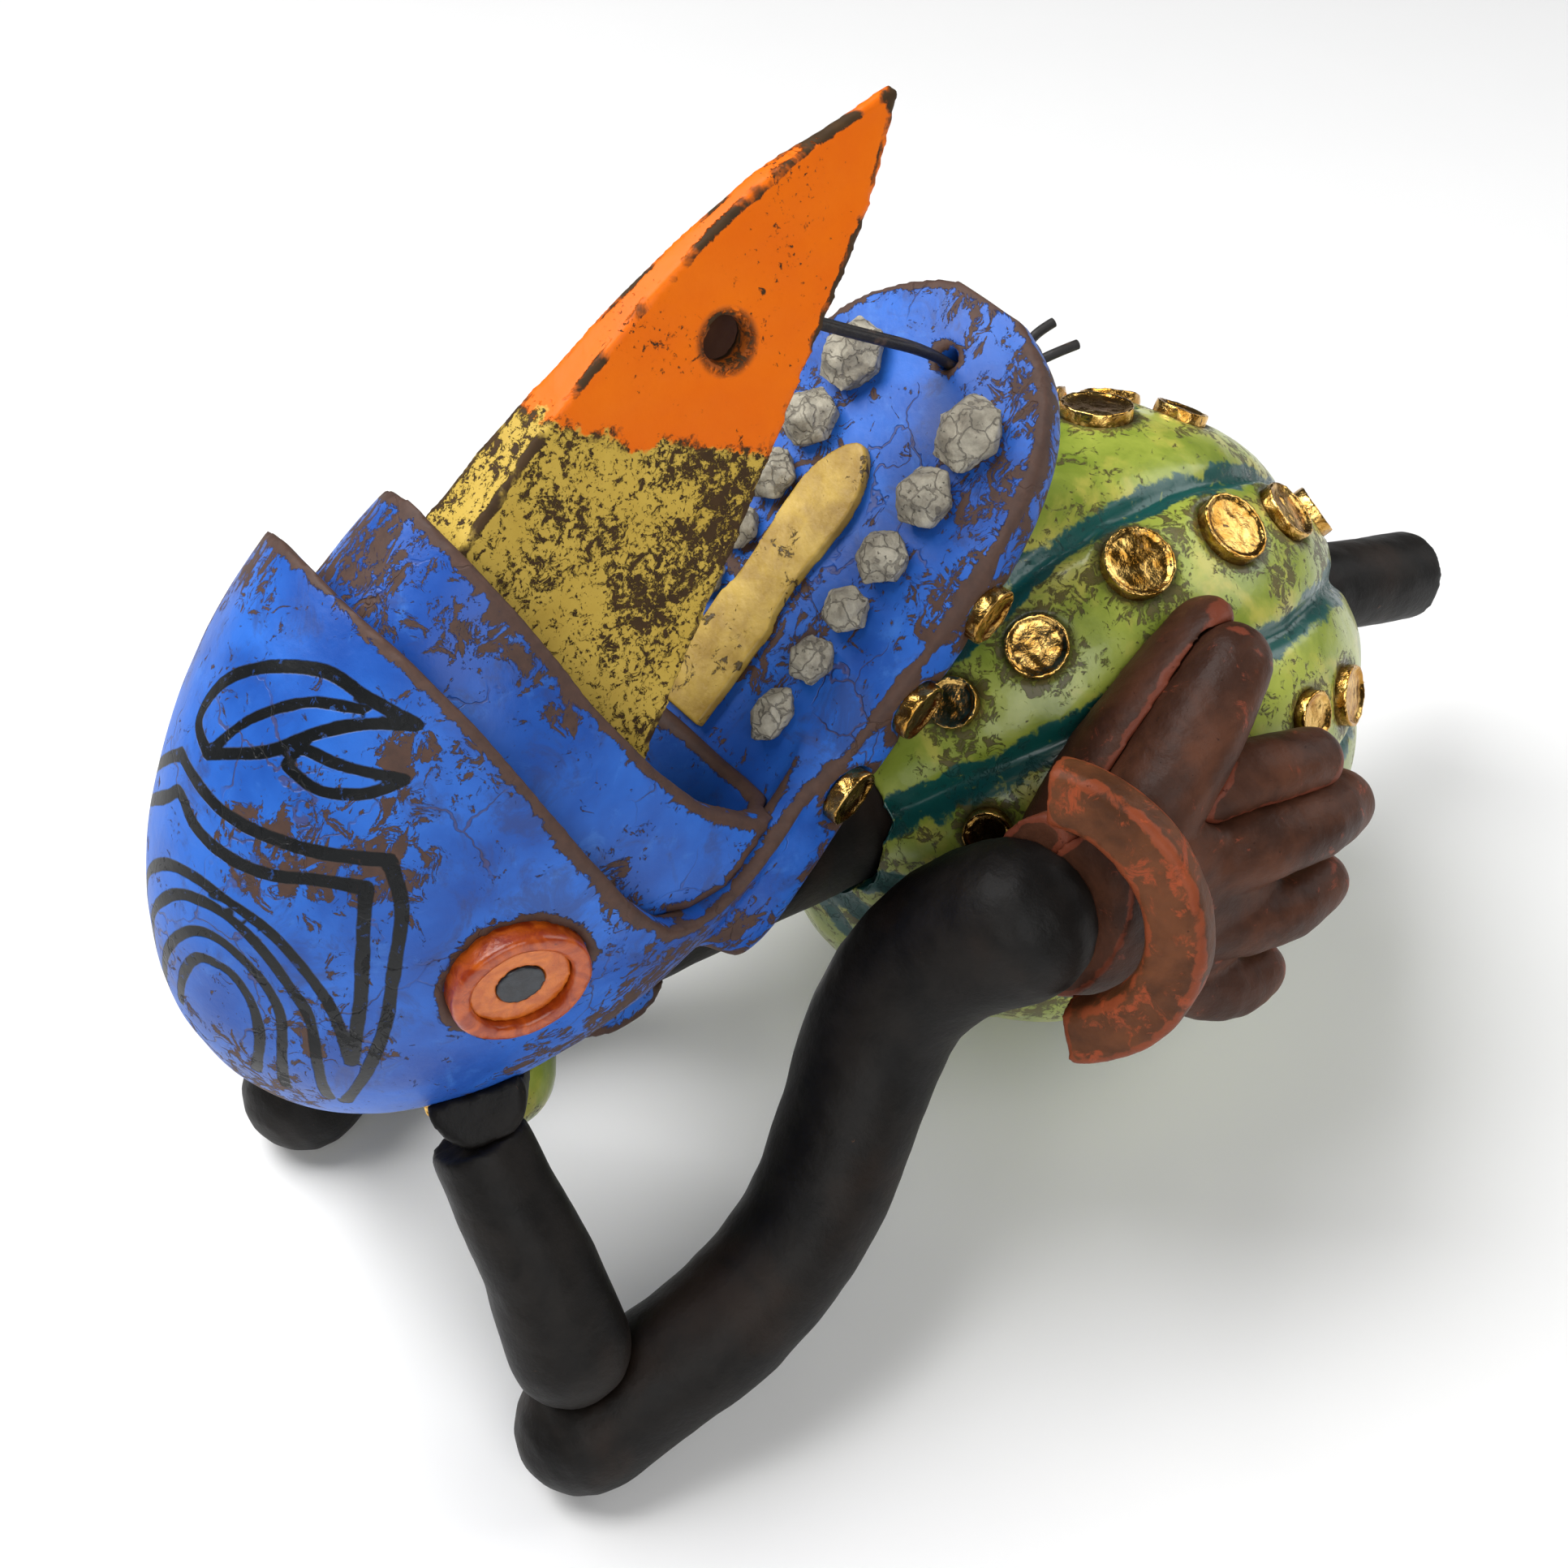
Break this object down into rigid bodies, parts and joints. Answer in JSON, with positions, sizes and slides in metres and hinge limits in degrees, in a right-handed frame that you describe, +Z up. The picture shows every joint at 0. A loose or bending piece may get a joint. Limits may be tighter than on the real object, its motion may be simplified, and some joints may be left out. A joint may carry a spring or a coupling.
{
  "type": "alebrije figure",
  "caption": "Painted clay alebrije: a blue-headed creature with an open hinged beak, stone teeth, green gourd body, gold discs, black arms and brown hands",
  "frame": {"origin": "bottom centre of the whole figure's bounding box, on the ground", "axes": "+Z up, the figure faces -Y, its left side is +X"},
  "size_m": [0.1996, 0.352, 0.2506],
  "materials": {
    "glazed_green_clay": "glossy",
    "gold_lustre": "metallic lustre",
    "matte_black_clay": "matte",
    "cobalt_painted_clay": "satin",
    "hardwood_dowel": "matte",
    "orange_yellow_clay": "satin",
    "ochre_painted_clay": "satin",
    "black_leather_cord": "matte",
    "brown_painted_clay": "satin",
    "red_orange_enamel": "glossy",
    "orange_enamel": "glossy",
    "dark_slate_enamel": "glossy",
    "grey_stone": "matte"
  },
  "bodies": {
    "figure": {"body_discs": "gold_lustre", "body_shell": "glazed_green_clay", "chest_bead": "glazed_green_clay", "chest_discs": "gold_lustre", "cord_knot": "black_leather_cord", "cuff_left": "brown_painted_clay", "cuff_right": "brown_painted_clay", "eye_iris_left": "orange_enamel", "eye_iris_right": "orange_enamel", "eye_pupil_left": "dark_slate_enamel", "eye_pupil_right": "dark_slate_enamel", "eye_ring_left": "red_orange_enamel", "eye_ring_right": "red_orange_enamel", "forearm_left": "matte_black_clay", "forearm_right": "matte_black_clay", "hand_left": "brown_painted_clay", "hand_right": "brown_painted_clay", "head_shell": "cobalt_painted_clay", "hinge_dowel": "hardwood_dowel", "jaw_discs_left": "gold_lustre", "jaw_discs_right": "gold_lustre", "neck_tube": "matte_black_clay", "palate_collar": "cobalt_painted_clay", "palm_pad_left": "brown_painted_clay", "palm_pad_right": "brown_painted_clay", "shoulder_left": "matte_black_clay", "shoulder_right": "matte_black_clay", "tail": "matte_black_clay", "tie_strand_left": "black_leather_cord", "tie_strand_right": "black_leather_cord", "tongue": "ochre_painted_clay", "tooth_1_left": "grey_stone", "tooth_1_right": "grey_stone", "tooth_2_left": "grey_stone", "tooth_2_right": "grey_stone", "tooth_3_left": "grey_stone", "tooth_3_right": "grey_stone", "tooth_4_left": "grey_stone", "tooth_4_right": "grey_stone", "tooth_5_left": "grey_stone", "tooth_5_right": "grey_stone", "tooth_6_left": "grey_stone", "tooth_6_right": "grey_stone", "upper_arm_left": "matte_black_clay", "upper_arm_right": "matte_black_clay"},
    "beak": {"beak": "orange_yellow_clay"}
  },
  "joints": [
    {"name": "beak_hinge", "type": "hinge", "parent": "figure", "child": "beak", "pos_m": [0, -0.11423, 0.1521], "axis": [-1, 0, 0], "range_deg": [0, 18], "deforming": ["tie_strand_left", "tie_strand_right"]}
  ]
}
